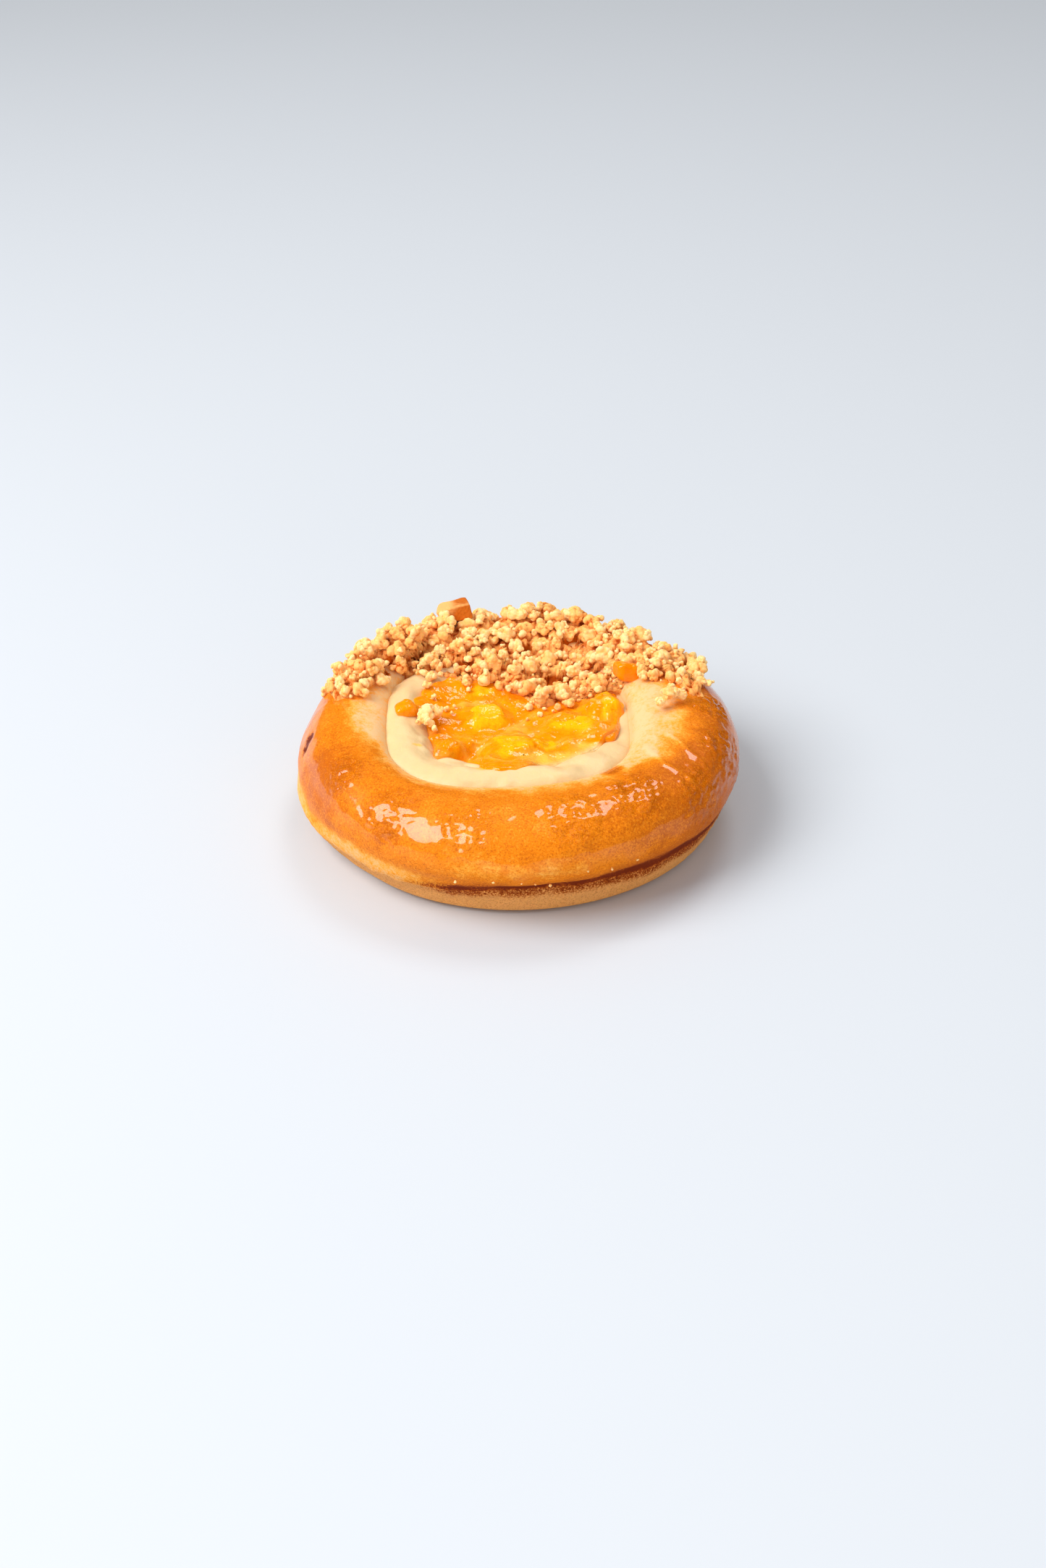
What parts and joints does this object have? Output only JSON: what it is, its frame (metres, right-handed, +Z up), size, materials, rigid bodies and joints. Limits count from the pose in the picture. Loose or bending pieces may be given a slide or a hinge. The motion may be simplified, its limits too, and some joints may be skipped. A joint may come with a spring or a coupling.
{
  "type": "cream cheese kolache",
  "caption": "Round glazed yeast bun with a well of cream cheese and fruit jam, and streusel crumbs over its far half.",
  "frame": {"origin": "centre of the flat base, on the surface the bun stands on", "axes": "+Z up; -Y towards the front, the side without streusel; +X to the right seen from the front"},
  "size_m": [0.1098, 0.1087, 0.037],
  "materials": {
    "dough": "baked yeast dough with a clear sugar glaze",
    "cream_cheese": "soft baked cream cheese",
    "fruit_jam": "wet translucent jam",
    "fruit_chunk": "wet fruit flesh",
    "streusel": "dry butter crumbs",
    "biscuit_chunk": "browner baked crumb"
  },
  "bodies": {
    "root": {"dough": "dough", "cream_cheese": "cream_cheese", "fruit_jam": "fruit_jam", "fruit_chunk_1": "fruit_chunk", "fruit_chunk_2": "fruit_chunk", "fruit_chunk_3": "fruit_chunk", "fruit_chunk_4": "fruit_chunk", "fruit_chunk_5": "fruit_chunk", "fruit_chunk_6": "fruit_chunk", "fruit_chunk_7": "fruit_chunk", "fruit_chunk_8": "fruit_chunk", "streusel": "streusel", "streusel_clump_left": "streusel", "streusel_clump_right": "streusel", "biscuit_chunk": "biscuit_chunk"}
  },
  "joints": []
}
